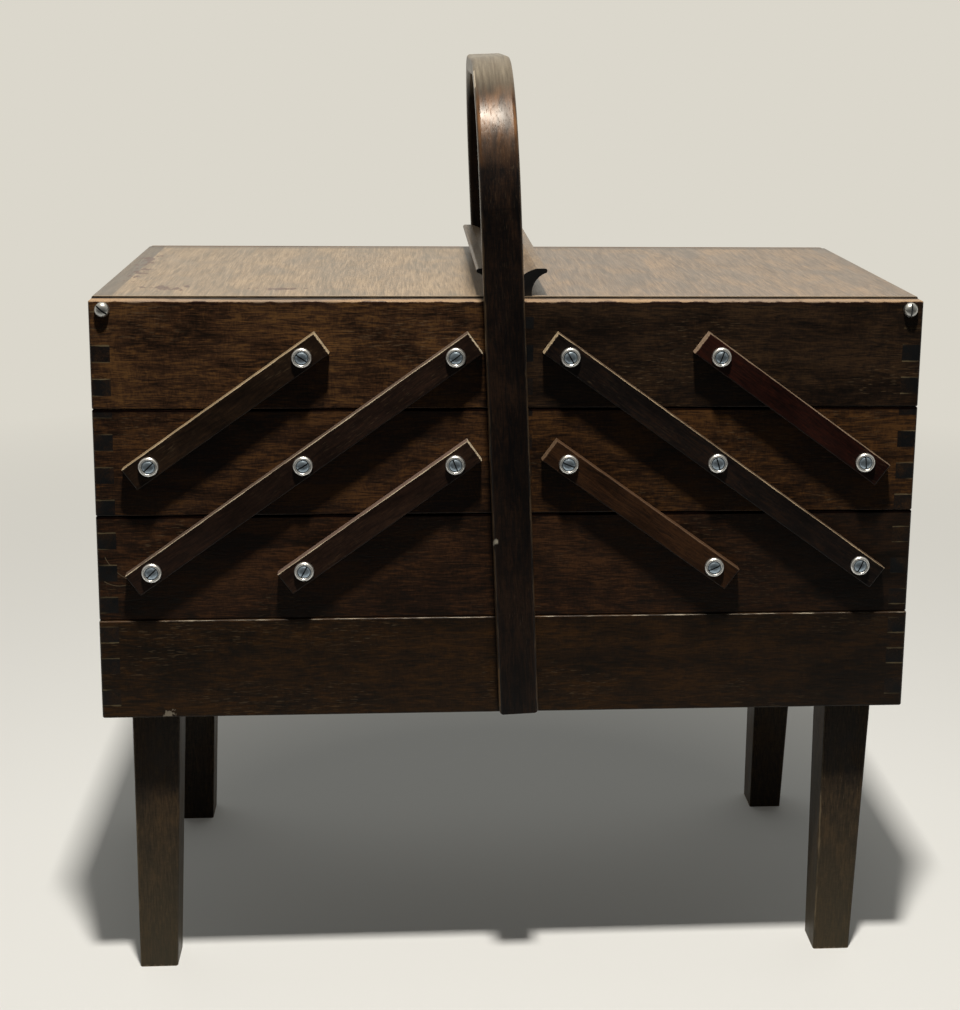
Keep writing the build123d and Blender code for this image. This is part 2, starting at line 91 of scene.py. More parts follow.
def stained_wood(name, number, tones, axis="x", apart=(1, 1), block=None, wear=0.45, bare="#6b523a",
                 rub=0.3, end_tone="#0f1215", flecks=0.3, gloss=(0.38, 0.52), contrast=1.0,
                 shine=0.2, curly=0.5, stretch=1.0, shaded_seam=None, turn=None, marks=None):
    """Open-pored hardwood under dark stain and brushed varnish.

    The eye sees soft golden and black-brown clouds, a faint curl across them, and fine fibres and pores
    along the grain. End grain drinks the stain and turns blue-black. Long edges rub paler.
    tones are the dark, middle and light shades, apart says whether left and right, front and back are
    separate boards, and block is the centre and half size of the box whose edges are rubbed. Painted
    shade: given the height of a seam under the next tier, the wood just below it is painted nearly black
    and loses its shine, standing in for the shadow in the gap between the tiers."""
    material = bpy.data.materials.new(name)
    material.use_nodes = True
    tree = material.node_tree
    shader = tree.nodes["Principled BSDF"]
    own = add(tree, "TexCoord", out=OBJECT)
    facing = add(tree, "TexCoord", out=NORMAL)
    place = add(tree, "VectorMath", own, 1000.0, operation="SCALE")
    if turn:
        place, facing = turn(tree, place, False), turn(tree, facing, True)
    # Each board comes from another place in the log
    side = add(tree, "VectorMath", own, operation="SIGN")
    jump = add(tree, "VectorMath", side, (733 * apart[0], 397 * apart[1], 0), operation="MULTIPLY")
    board = add(tree, "VectorMath", place, jump, operation="ADD")
    board = add(tree, "VectorMath", board, (911 * number, 127 * number, 353 * number), operation="ADD")
    cloud = grain(tree, board, axis, 48, 19, 2.0, 0.8)
    figure = grain(tree, board, axis, 24 * stretch, 2.2 + 1.2 * stretch, 3.0, 2.4)
    curl = grain(tree, board, axis, 2.4, 6.5, 3.0, 2.0)
    fibre = grain(tree, board, axis, 8 * stretch, 0.5, 3.0, 0.4)
    shade = add(tree, "Math", cloud, 0.9, figure, operation="MULTIPLY_ADD")
    shade = add(tree, "Math", curl, curly, shade, operation="MULTIPLY_ADD")
    shade = add(tree, "Math", fibre, 1.4 - curly, shade, operation="MULTIPLY_ADD")
    dark, middle, light = [linear(tone) for tone in tones]
    even = 1.65                 # what the four figures add up to where each is at its middle
    spread = 0.27 / contrast
    low = add(tree, "MapRange", shade, even - spread, even)
    high = add(tree, "MapRange", shade, even, even + spread)
    colour = add(tree, "Mix", low, dark, middle, data_type="RGBA")
    colour = add(tree, "Mix", high, colour, light, data_type="RGBA")
    # Pores are short dark dashes; here and there the varnish has left them and they show pale
    pores = add(tree, "MapRange", grain(tree, board, axis, 5, 0.55, 1.0), 0.58, 0.68, 0.0, 0.55)
    colour = add(tree, "Mix", pores, colour, dark, data_type="RGBA")
    dry = add(tree, "MapRange", grain(tree, board, axis, 70, 30, 1.0), 0.52, 0.62)
    dash = add(tree, "MapRange", grain(tree, board, axis, 5.5, 0.6, 1.0), 0.62, 0.72, 0.0, flecks)
    dash = add(tree, "Math", dash, dry, operation="MULTIPLY")
    colour = add(tree, "Mix", dash, colour, linear("#8f7c62"), data_type="RGBA")
    # End grain faces along the grain
    facing = add(tree, "SeparateXYZ", facing, out="xyz".index(axis))
    facing = add(tree, "Math", facing, operation="ABSOLUTE")
    soaked = add(tree, "MapRange", grain(tree, board, axis, 11, 11, 3.0), 0.36, 0.6, 0.45, 0.95)
    ends = add(tree, "Math", add(tree, "MapRange", facing, 0.75, 0.9), soaked, operation="MULTIPLY")
    colour = add(tree, "Mix", ends, colour, linear(end_tone), data_type="RGBA")
    if marks:
        colour = marks(tree, place, colour)
    if block:
        distance = edge_distance(tree, place, *block)
        ragged = add(tree, "MapRange", grain(tree, board, axis, 14, 1.4, 3.0),
                     0.35, 0.65, -0.3 * wear, 0.9 * wear)
        distance = add(tree, "Math", distance, ragged, operation="ADD")
        edge = add(tree, "MapRange", distance, 0.35 * wear, 0.95 * wear, rub, 0.0)
        colour = add(tree, "Mix", edge, colour, linear(bare), data_type="RGBA")
    specular = shader.inputs["Specular IOR Level"]
    specular.default_value = shine
    # Painted shade: just below a seam under the next tier the wood turns nearly black and loses its
    # shine
    if shaded_seam:
        upper = add(tree, "MapRange", add(tree, "SeparateXYZ", place, out=Z), shaded_seam - 1.4, shaded_seam - 0.8)
        tree.links.new(add(tree, "MapRange", upper, 0.0, 1.0, shine, 0.0), specular)
        upper = add(tree, "Math", upper, 0.94, operation="MULTIPLY")
        colour = add(tree, "Mix", upper, colour, linear("#070405"), data_type="RGBA")
    tree.links.new(colour, shader.inputs["Base Color"])
    tree.links.new(add(tree, "MapRange", cloud, 0.35, 0.65, *gloss), shader.inputs["Roughness"])
    relief = add(tree, "Math", fibre, pores, operation="SUBTRACT")
    tree.links.new(add(tree, "Bump", 0.3, 0.0002, 1.0, relief), shader.inputs["Normal"])
    return material


def dress(material, *names):
    """Gives CAD nodes a material."""
    for name in names:
        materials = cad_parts[name].data.materials
        materials.clear()
        materials.append(material)


def glue_lines(first_line):
    """Pale lines of squeezed-out glue between some of the corner fingers, counted from the lowest."""
    def marks(tree, place, colour):
        folded = add(tree, "VectorMath", place, operation="ABSOLUTE")
        x, y, z = add(tree, "SeparateXYZ", folded).node.outputs
        off = add(tree, "Math", z, first_line, operation="SUBTRACT")
        off = add(tree, "Math", off, FINGER / 2, operation="PINGPONG")
        ragged = add(tree, "MapRange", grain(tree, place, "x", 5, 1.5, 2.0), 0.3, 0.7, -0.2, 0.2)
        line = add(tree, "MapRange", add(tree, "Math", off, ragged, operation="ADD"), 0.2, 0.4, 1.0, 0.0)
        some = add(tree, "MapRange", grain(tree, place, "x", 30, 7, 1.0), 0.46, 0.62, 0.0, 0.75)
        for distance, corner in ((x, HALF_WIDTH - BOARD + 0.1), (y, HALF_DEPTH - BOARD + 0.1)):
            inside = add(tree, "Math", distance, corner, operation="GREATER_THAN")
            some = add(tree, "Math", some, inside, operation="MULTIPLY")
        line = add(tree, "Math", line, some, operation="MULTIPLY")
        return add(tree, "Mix", line, colour, linear("#84795f"), data_type="RGBA")
    return marks


# The centre, radius and left end of each curved scratch
RIM_SCRATCHES = (((-199, 0, 232), 13.0, -209), ((-184, 0, 244), 24.0, -206))
SCRATCH_SPAN = 14


def rim_marks(tree, place, colour):
    """Glue lines, darker towards the right, and two curved scratches at the front's left end."""
    colour = glue_lines(RIM_LINE)(tree, place, colour)
    x, y, z = add(tree, "SeparateXYZ", place).node.outputs
    darker_rightwards = add(tree, "MapRange", x, 60.0, 200.0, 0.0, 0.7)
    colour = add(tree, "Mix", darker_rightwards, colour, linear("#0d0a07"), data_type="RGBA")
    front = add(tree, "Math", y, 0.5 - HALF_DEPTH, operation="LESS_THAN")
    for centre, radius, left in RIM_SCRATCHES:
        flat = add(tree, "VectorMath", place, (1, 0, 1), operation="MULTIPLY")
        off = add(tree, "VectorMath", flat, centre, operation="DISTANCE")
        off = add(tree, "Math", off, radius, operation="SUBTRACT")
        off = add(tree, "Math", off, operation="ABSOLUTE")
        line = add(tree, "MapRange", off, 0.1, 0.3, 0.55, 0.0)
        part = add(tree, "Math", add(tree, "Math", x, left, operation="GREATER_THAN"),
                   add(tree, "Math", x, left + SCRATCH_SPAN, operation="LESS_THAN"),
                   operation="MULTIPLY")
        lower_half = add(tree, "Math", z, centre[2], operation="LESS_THAN")
        part = add(tree, "Math", part, lower_half, operation="MULTIPLY")
        part = add(tree, "Math", part, front, operation="MULTIPLY")
        line = add(tree, "Math", line, part, operation="MULTIPLY")
        colour = add(tree, "Mix", line, colour, linear("#8a7c66"), data_type="RGBA")
    return colour


def base_marks(tree, place, colour):
    """Glue lines, darker towards the right, and one pale knock at the front's lower edge."""
    colour = glue_lines(BASE_LINE)(tree, place, colour)
    near = add(tree, "VectorMath", place, (-175.5, -BASE_HALF_DEPTH, 149.4), operation="DISTANCE")
    ragged = add(tree, "MapRange", grain(tree, place, "x", 1.6, 1.6, 2.0), 0.35, 0.65, -2.2, 1.2)
    knock = add(tree, "MapRange", add(tree, "Math", near, ragged, operation="ADD"), 1.5, 2.0, 0.85, 0.0)
    darker_rightwards = add(tree, "MapRange", add(tree, "SeparateXYZ", place), 40.0, 190.0, 0.0, 0.5)
    colour = add(tree, "Mix", darker_rightwards, colour, linear("#100c09"), data_type="RGBA")
    return add(tree, "Mix", knock, colour, linear("#a9a294"), data_type="RGBA")


PLANK_TONES = ("#120c06", "#291b0d", "#422c15")
base_block = ((0, 0, (BASE_FOOT + RIM_FOOT) / 2),
              (HALF_WIDTH, BASE_HALF_DEPTH, (RIM_FOOT - BASE_FOOT) / 2))
rim_block = ((0, 0, RIM_FOOT + TIER / 2), (HALF_WIDTH, HALF_DEPTH, TIER / 2))
# The rim's upper edge, under the mid trays, takes painted shade for the gap between them
rim_shaded_seam = RIM_FOOT + TIER
# The base's edges are rubbed pale to bare wood; along its top arris under the rim the pale line also
# stands in for a painted highlight
dress(stained_wood("base_stained_planks", 1, PLANK_TONES, "x", (0, 1), base_block, wear=0.5,
                   bare="#b3ab9a", rub=0.8, flecks=0.25, marks=base_marks),
      "base_front_board", "base_back_board")
dress(stained_wood("base_stained_ends", 2, PLANK_TONES, "y", (1, 0), base_block,
                   marks=glue_lines(BASE_LINE)),
      "base_left_end", "base_right_end")
dress(stained_wood("rim_stained_planks", 3, ("#150e09", "#301f14", "#4e3420"), "x", (0, 1), rim_block,
                   rub=0.12, shaded_seam=rim_shaded_seam, marks=rim_marks),
      "rim_front_board", "rim_back_board")
dress(stained_wood("rim_stained_ends", 4, PLANK_TONES, "y", (1, 0), rim_block, rub=0.12,
                   shaded_seam=rim_shaded_seam, marks=glue_lines(RIM_LINE)),
      "rim_left_end", "rim_right_end")

# ---- Legs ---------------------------------------------------------------------------------------
# Four square hardwood legs, tapered on two faces and screwed up to the base's floor. The stain is
# thinner here: the wood is greyer, and paler towards the feet where it has been knocked and wiped.
# The back legs are mostly kept dark, as painted shade under the box.

SCUFFED_HEIGHT = 110.0      # above the floor


def foot_scuffs_and_back_shade(tree, place, colour):
    """Greyer, paler wood towards the foot, most of all on the front legs; the back legs stay mostly
    dark as painted shade under the box.
    """
    _, y, z = add(tree, "SeparateXYZ", place).node.outputs
    share = add(tree, "MapRange", z, 0.0, SCUFFED_HEIGHT, 0.5, 0.0)
    # Painted shade: the back legs, standing under the box, are mostly kept from turning pale
    towards_front = add(tree, "MapRange", y, -20.0, 20.0, 1.0, 0.1)
    share = add(tree, "Math", share, towards_front, operation="MULTIPLY")
    return add(tree, "Mix", share, colour, linear("#706a59"), data_type="RGBA")


leg_block = ((184.3, 82.5, 75.0), (12.5, 12.5, 75.0))
dress(stained_wood("legs_stained", 5, ("#1f1914", "#3f3429", "#594835"), "z", (1, 1), leg_block,
                   wear=1.3, bare="#a99a80", rub=0.45, end_tone="#2c2620", gloss=(0.4, 0.55),
                   shine=0.15, marks=foot_scuffs_and_back_shade),
      "front_left_leg", "front_right_leg", "back_left_leg", "back_right_leg")

# ---- Trays --------------------------------------------------------------------------------------
# Two trays a side, of the same finger-jointed planks, each with a plywood bottom let into grooves.
# The top trays' upper edges are rubbed to bare tan wood, because the lids meet them there.

MID_FOOT, TOP_FOOT = 255.8, 311.1           # the trays' lower edges
BOX_TOP = 366.1
MID_LINE, TOP_LINE = MID_FOOT, 318.1        # lowest joint between two fingers


def rubbed_and_shaded_top(tree, place, colour):
    """Bare tan wood along the top tray's upper edge, with the varnish worn back to a ragged line,
    and painted shade along the rebate's inner edge under the lid.
    """
    colour = glue_lines(TOP_LINE)(tree, place, colour)
    x, y, z = add(tree, "SeparateXYZ", place).node.outputs
    ragged = add(tree, "MapRange", grain(tree, place, "x", 7, 5, 3.0), 0.35, 0.65, -0.5, 0.5)
    height = add(tree, "Math", z, ragged, operation="ADD")
    share = add(tree, "MapRange", height, BOX_TOP - 0.8, BOX_TOP - 0.3, 0.0, 0.9)
    towards_front = add(tree, "MapRange", y, -60.0, 60.0, 1.0, 0.35)
    share = add(tree, "Math", share, towards_front, operation="MULTIPLY")
    patches = add(tree, "MapRange", grain(tree, place, "x", 55, 12, 3.0), 0.4, 0.6)
    bare = add(tree, "Mix", patches, linear("#8d7b6a"), linear("#a58a6c"), data_type="RGBA")
    varnish_edge = add(tree, "MapRange", z, BOX_TOP - 2.0, BOX_TOP - 0.9, 0.0, 0.6)
    colour = add(tree, "Mix", varnish_edge, colour, linear("#240d0a"), data_type="RGBA")
    colour = add(tree, "Mix", share, colour, bare, data_type="RGBA")
    # Painted shade: the rebate's inner edge under the lid is painted nearly black, widest where the left
    # lid has bowed
    bowed = add(tree, "Math", add(tree, "MapRange", x, -185.0, -135.0),
                add(tree, "MapRange", x, -120.0, -30.0, 1.0, 0.0), operation="MULTIPLY")
    depth = add(tree, "Math", add(tree, "Math", y, operation="ABSOLUTE"),
                add(tree, "Math", bowed, 3.5, operation="MULTIPLY"), operation="SUBTRACT")
    inner_face = HALF_DEPTH - BOARD
    inner = add(tree, "MapRange", depth, inner_face + 2.5, inner_face + 3.3, 0.97, 0.0)
    return add(tree, "Mix", inner, colour, linear("#080304"), data_type="RGBA")


TRAYS = (("left", "mid", MID_FOOT, ("#180f0a", "#372519", "#5a3e24")),
         ("left", "top", TOP_FOOT, ("#1c130d", "#442f20", "#6b4d2d")),
         ("right", "mid", MID_FOOT, ("#180f0a", "#392617", "#5d4023")),
         ("right", "top", TOP_FOOT, ("#110c09", "#271c14", "#402f1f")))
for number, (side, level, foot, tones) in enumerate(TRAYS, start=6):
    tray = f"{side}_{level}_tray"
    block = ((105.25, 0, foot + TIER / 2), (104.75, HALF_DEPTH, TIER / 2))
    top = level == "top"
    # A mid tray's upper edge, under the top tray, takes painted shade for the gap between them
    shaded_seam = None if top else foot + TIER
    dress(stained_wood(tray + "_stained_planks", number, tones, "x", (0, 1), block, rub=0.12,
                       end_tone="#17130f" if top else "#0f1215", shaded_seam=shaded_seam,
                       marks=rubbed_and_shaded_top if top else glue_lines(MID_LINE)),
          tray + "_front_board", tray + "_back_board")
    dress(stained_wood(tray + "_stained_ends", number + 10, tones, "y", (0, 0), block, rub=0.12,
                       shaded_seam=shaded_seam, marks=glue_lines(TOP_LINE if top else MID_LINE)),
          tray + "_outer_end", tray + "_inner_end")

# ---- Plywood bottoms ----------------------------------------------------------------------------
# Birch-faced plywood, left unstained inside the trays and the base: matt, with broad pale waves of
# rotary-cut veneer and fine pores.

plywood = bpy.data.materials.new("birch_plywood_bare")
plywood.use_nodes = True
tree = plywood.node_tree
shader = tree.nodes["Principled BSDF"]
place = add(tree, "VectorMath", add(tree, "TexCoord", out=OBJECT), 1000.0, operation="SCALE")
wave = add(tree, "MapRange", grain(tree, place, "x", 120, 22, 2.0, 2.5), 0.35, 0.65)
colour = add(tree, "Mix", wave, linear("#8b7456"), linear("#a18a68"), data_type="RGBA")
pores = add(tree, "MapRange", grain(tree, place, "x", 14, 0.8, 2.0), 0.55, 0.75, 0.0, 0.5)
colour = add(tree, "Mix", pores, colour, linear("#6a543b"), data_type="RGBA")
tree.links.new(colour, shader.inputs["Base Color"])
tree.links.new(add(tree, "MapRange", wave, 0.0, 1.0, 0.66, 0.76), shader.inputs["Roughness"])
dress(plywood, "base_floor", *[f"{side}_{level}_tray_bottom" for side in ("left", "right")
                               for level in ("mid", "top")])

# ---- Bars ---------------------------------------------------------------------------------------
# Twelve flat hardwood bars hinge the trays to the base. They are planed with small rounded arrises,
# worn to cream along the top where fingers and cloth rub past; their upward faces are painted paler
# still, as painted highlight where the lamp falls on them. Each was cut from another stick: some are
# reddish, some nearly black.

OUTER, MIDDLE, INNER = 181.75, 105.25, 28.75        # the pivots' distances from the middle of the box
RIM_PIVOT, MID_PIVOT, TOP_PIVOT = 228.0, 283.3, 338.6       # the pivots' heights on the three tiers
LONG_BAR, SHORT_BAR = 106.4, 59.2                   # half lengths
BAR_SLOPE = math.radians(35.862)


def worn_and_lit_upper_faces(bare, end):
    """Pale wood on a bar's upper narrow face and upper end, where the normal points up: worn bare wood,
    made paler as painted highlight where the lamp falls on the upward faces.
    """
    def marks(tree, place, colour):
        # Painted highlight: paler the more the face points up, over wood that is worn bare
        up = add(tree, "SeparateXYZ", add(tree, "TexCoord", out=NORMAL), out=Z)
        ragged = add(tree, "MapRange", grain(tree, place, "x", 12, 1.2, 3.0), 0.3, 0.7, -0.25, 0.25)
        share = add(tree, "MapRange", add(tree, "Math", up, ragged, operation="ADD"),
                    0.25, 0.6, 0.0, 0.9)
        at_end = add(tree, "MapRange", up, 0.66, 0.74, 1.0, 0.0)
        worn = add(tree, "Mix", at_end, linear(bare), linear(end), data_type="RGBA")
        return add(tree, "Mix", share, colour, worn, data_type="RGBA")
    return marks


# The middle of each kind of bar lies halfway between its two outermost pivots
BAR_KINDS = {"upper": (((OUTER + MIDDLE) / 2, (MID_PIVOT + TOP_PIVOT) / 2), SHORT_BAR),
             "long": ((MIDDLE, MID_PIVOT), LONG_BAR),
             "lower": (((MIDDLE + INNER) / 2, (RIM_PIVOT + MID_PIVOT) / 2), SHORT_BAR)}
# Each bar's three stain tones, and its pale wood along the top and at the upper end: worn bare
# wood lightened as painted highlight
BARS = (("left", "upper", ("#17100c", "#281d15", "#3b2b1e"), "#98866c", "#c9ba9e"),
        ("left", "long", ("#160e0c", "#251a15", "#36251d"), "#65574e", "#d2c7b0"),
        ("left", "lower", ("#180f0c", "#2a1d17", "#3c2b21"), "#73625a", "#d2c7b0"),
        ("right", "upper", ("#120706", "#26110d", "#381a12"), "#6b5d4e", "#968371"),
        ("right", "long", ("#0e0b0b", "#1a1514", "#2e2018"), "#5c4d40", "#bfae92"),
        ("right", "lower", ("#1b110b", "#332115", "#472f1d"), "#533f30", "#6e5b4a"))
for number, (side, kind, tones, bare, end) in enumerate(BARS, start=30):
    sign = -1 if side == "left" else 1
    centre, half_length = BAR_KINDS[kind]

    def along_bar(tree, vector, is_direction, sign=sign, centre=centre):
        """Turns the bar's own length to X, with its middle at x = 0, z = 0."""
        if not is_direction:
            middle = (sign * centre[0], 0, centre[1])
            vector = add(tree, "VectorMath", vector, middle, operation="SUBTRACT")
        return add(tree, "VectorRotate", vector, (0, 0, 0), -sign * BAR_SLOPE, rotation_type="Y_AXIS")

    block = ((0, 108.8, 0), (half_length, 3.0, 6.5))
    dress(stained_wood(f"{side}_{kind}_bar_stained", number, tones, "x", (0, 1), block, wear=0.4,
                       bare=bare, rub=0.35, end_tone="#3a2c20", flecks=0.15, gloss=(0.3, 0.42),
                       contrast=0.8, turn=along_bar, marks=worn_and_lit_upper_faces(bare, end)),
          f"{side}_front_{kind}_bar", f"{side}_back_{kind}_bar")

# ---- Pivot screws and cup washers ---------------------------------------------------------------
# Each pivot is a slotted raised-head steel wood screw in a pressed cup washer, both bright zinc
# plated. The cups keep their shine; the screw heads are duller and bluer, with burred slots.

FACE = 111.9                # a cup's back stands this far from the middle of the box
# Outlines as (radius, height) points
CUP = ((2.4, 0.0), (4.85, 0.0), (5.1, 0.25), (5.1, 0.75), (4.95, 1.2), (4.65, 1.6), (4.25, 1.88),
       (3.9, 1.96), (3.65, 1.85), (3.45, 1.5), (2.4, 0.4), (2.4, 0.0))
SCREW = ((0.4, -15.0), (2.0, -12.0), (2.0, 0.0), (2.9, 0.9), (3.2, 1.15), (3.15, 1.5), (2.7, 1.85),
         (2.0, 2.12), (1.1, 2.26), (0.3, 2.29))


def turned(profile, closed=False):
    """A turned piece about Z from (radius, height) points in millimetres, made by extruding a ring."""
    bpy.ops.object.select_all(action="DESELECT")
    radius, height = profile[0]
    bpy.ops.mesh.primitive_circle_add(vertices=40, radius=radius / 1000, location=(0, 0, 0))
    bpy.ops.object.mode_set(mode="EDIT")
    bpy.ops.transform.translate(value=(0, 0, height / 1000))
    if not closed:
        bpy.ops.mesh.edge_face_add()
    for next_radius, next_height in profile[1:]:
        rise = (0, 0, (next_height - height) / 1000)
        bpy.ops.mesh.extrude_region_move(TRANSFORM_OT_translate={"value": rise})
        scale = next_radius / radius
        bpy.ops.transform.resize(value=(scale, scale, 1), center_override=(0, 0, next_height / 1000))
        radius, height = next_radius, next_height
    bpy.ops.mesh.select_all(action="SELECT")
    bpy.ops.mesh.remove_doubles(threshold=1e-6)
    bpy.ops.mesh.normals_make_consistent(inside=False)
    bpy.ops.object.mode_set(mode="OBJECT")
    bpy.ops.object.shade_smooth_by_angle(angle=math.radians(38))
    return bpy.context.object


def cut_slot(screw, top, width, depth):
    """Cuts a driver slot along X across a screw's head."""
    bpy.ops.object.select_all(action="DESELECT")
    bpy.ops.mesh.primitive_cube_add(size=1, location=(0, 0, top / 1000),
                                    scale=(0.02, width / 1000, 2 * depth / 1000))
    cutter = bpy.context.object
    cutter.data.materials.append(dark_slot_zinc)
    cut = screw.modifiers.new("slot", "BOOLEAN")
    cut.object, cut.solver, cut.material_mode = cutter, "EXACT", "TRANSFER"
    bpy.ops.object.select_all(action="DESELECT")
    bpy.context.view_layer.objects.active = screw
    screw.select_set(True)
    bpy.ops.object.modifier_apply(modifier="slot")
    bpy.data.objects.remove(cutter)


def bright_zinc(name, tone, rough):
    """Bright zinc plate: a clean, slightly blue metal shine with a faint cloudy bloom and fine rubs."""
    material = bpy.data.materials.new(name)
    material.use_nodes = True
    tree = material.node_tree
    shader = tree.nodes["Principled BSDF"]
    shader.inputs["Metallic"].default_value = 1.0
    place = add(tree, "VectorMath", add(tree, "TexCoord", out=OBJECT), 1000.0, operation="SCALE")
    bloom = grain(tree, place, "x", 2.2, 2.2)
    share = add(tree, "MapRange", bloom, 0.35, 0.7, 0.0, 0.4)
    colour = add(tree, "Mix", share, linear(tone), linear("#8f949a"), data_type="RGBA")
    tree.links.new(colour, shader.inputs["Base Color"])
    dull = add(tree, "MapRange", bloom, 0.35, 0.65, rough, rough + 0.12)
    tree.links.new(dull, shader.inputs["Roughness"])
    return material


# The slots' cut faces take a darker, duller zinc
dark_slot_zinc = bright_zinc("dark_slot_zinc", "#2a2c30", 0.6)
cup_pattern = turned(CUP, closed=True)
cup_pattern.data.materials.append(bright_zinc("cup_washer_zinc_plate", "#f0f0ee", 0.28))
screw_zinc = bright_zinc("screw_zinc_plate", "#abbdcd", 0.3)
screw_pattern = turned(SCREW)
screw_pattern.data.materials.append(screw_zinc)
cut_slot(screw_pattern, SCREW[-1][1], width=0.7, depth=1.0)


def place_copy(pattern, x, face, z, front, turn=0.0):
    """A copy of a piece made along +Z, with its own mesh, set on the front or back of the box."""
    copy = pattern.copy()
    copy.data = pattern.data.copy()
    bpy.context.scene.collection.objects.link(copy)
    outwards = Matrix.Rotation(math.radians(90 if front else -90), 4, "X")
    spot = Vector((x, -face if front else face, z)) / 1000
    turned_slot = Matrix.Rotation(math.radians(turn), 4, "Z")
    copy.data.transform(Matrix.Translation(spot) @ outwards @ turned_slot)
    return copy


def join(pieces, name):
    """Joins pieces into one named object."""
    bpy.ops.object.select_all(action="DESELECT")
    for piece in pieces:
        piece.select_set(True)
    bpy.context.view_layer.objects.active = pieces[0]
    bpy.ops.object.join()
    pieces[0].name = name
    return pieces[0]


# The height of each group's pivots, and each one's x and the angle at which its slot came to rest
PIVOTS = {"left_mid": (MID_PIVOT, ((-OUTER, 45), (-MIDDLE, 32), (-INNER, -68))),
          "left_top": (TOP_PIVOT, ((-MIDDLE, -34), (-INNER, 38))),
          "right_mid": (MID_PIVOT, ((INNER, -23), (MIDDLE, -73), (OUTER, 95))),
          "right_top": (TOP_PIVOT, ((INNER, -60), (MIDDLE, 70))),
          "base": (RIM_PIVOT, ((-OUTER, 45), (-MIDDLE, 62), (MIDDLE, 25), (OUTER, 65)))}
BACK_TURN = 57              # degrees by which a back screw's slot differs from the front one's
for group, (z, pivots) in PIVOTS.items():
    pieces = []
    for x, angle in pivots:
        for front in (True, False):
            turn = angle if front else angle + BACK_TURN
            pieces.append(place_copy(screw_pattern, x, FACE, z, front, turn))
            pieces.append(place_copy(cup_pattern, x, FACE, z, front))
    hardware = join(pieces, f"{group}_pivot_screws_and_cups")
    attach(hardware, "base" if group == "base" else f"{group}_tray")
    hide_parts(f"{group}_pivot_fasteners")

# ---- Lids ---------------------------------------------------------------------------------------
# Each lid is a veneered panel with its grain from front to back and a solid rail at the outer end.
# The tops are faded and rubbed to a tan under a semi-gloss varnish, greyed further as painted sheen of
# the pale surroundings.

LID_HALF_DEPTH, LID_TOP, LID_THICK = 94.7, 366.9, 8.5
# The centre and half size of each worn patch by the left rail and along the left lid's front
WORN_PATCHES = (((-200, 34, 367), (7, 30, 30)), ((-199, -16, 367), (7, 26, 30)),
                ((-176, -70, 367), (16, 12, 30)), ((-118, -72, 367), (22, 6, 30)))
lid_block = ((105.5, 0, LID_TOP - LID_THICK / 2), (104.5, LID_HALF_DEPTH, LID_THICK / 2))


def lid_marks(tree, place, colour):
    """A darker strip along the back, worn reddish patches on the left lid and a pale front arris."""
    _, y, z = add(tree, "SeparateXYZ", place).node.outputs
    back = add(tree, "MapRange", y, 84.0, 92.0, 0.0, 0.6)
    colour = add(tree, "Mix", back, colour, linear("#3d342d"), data_type="RGBA")
    arris = add(tree, "Math",
                add(tree, "MapRange", y, 0.7 - LID_HALF_DEPTH, 1.5 - LID_HALF_DEPTH, 0.6, 0.0),
                add(tree, "MapRange", z, LID_TOP - 0.6, LID_TOP - 0.2), operation="MULTIPLY")
    colour = add(tree, "Mix", arris, colour, linear("#b5a58d"), data_type="RGBA")
    ragged = add(tree, "MapRange", grain(tree, place, "y", 9, 4, 4.0), 0.3, 0.7, -0.4, 1.5)
    for centre, size in WORN_PATCHES:
        near = add(tree, "VectorMath", place, centre, operation="SUBTRACT")
        near = add(tree, "VectorMath", near, size, operation="DIVIDE")
        near = add(tree, "VectorMath", near, operation="LENGTH")
        near = add(tree, "Math", near, ragged, operation="ADD")
        worn = add(tree, "MapRange", near, 0.85, 1.1, 0.85, 0.0)
        colour = add(tree, "Mix", worn, colour, linear("#4a2f24"), data_type="RGBA")
    return colour


# The panels' greyed tones are partly faded wood and partly painted sheen
LIDS = (("left_lid_panel", ("#645847", "#81705c", "#9c8a73")),
        ("left_lid_rail", ("#4c443b", "#5c5248", "#6c6255")),
        ("right_lid_panel", ("#564a3f", "#726355", "#8e7a65")),
        ("right_lid_rail", ("#52473d", "#6b5d50", "#837160")))
for number, (piece, tones) in enumerate(LIDS, start=40):
    dress(stained_wood(piece + "_varnished", number, tones, "y", (0, 0), lid_block, wear=0.5,
                       bare="#9a8468", rub=0.3, end_tone="#0c0607", flecks=0.1, gloss=(0.3, 0.38),
                       contrast=0.9, shine=0.5, curly=0.1, stretch=3.0, marks=lid_marks), piece)

# ---- Lid grips ----------------------------------------------------------------------------------
# Mouldings glued along the lids' inner edges, with a hollow under the tip for the fingertips. Their
# long faces are faded like the lids, and their sawn ends are nearly black.


def soaked_and_shaded_ends(tree, place, colour):
    """Nearly black sawn ends: end grain soaked with stain, darkened further as painted shade."""
    out = add(tree, "Math", add(tree, "SeparateXYZ", place, out=Y), operation="ABSOLUTE")
    end = add(tree, "MapRange", out, LID_HALF_DEPTH - 0.5, LID_HALF_DEPTH - 0.1)
    return add(tree, "Mix", end, colour, linear("#0a0c0f"), data_type="RGBA")


dress(stained_wood("grip_moulding_varnished", 44, ("#54473a", "#6c5c4b", "#806e58"), "y", (1, 0),
                   flecks=0.1, gloss=(0.32, 0.42), shine=0.5, marks=soaked_and_shaded_ends),
      "left_lid_grip", "right_lid_grip")

# ---- Lid pivot screws ---------------------------------------------------------------------------
# Slotted round-head screws, bright zinc plated. They are driven through the top trays' front and back
# into the lids' rails, and turn with the lids.

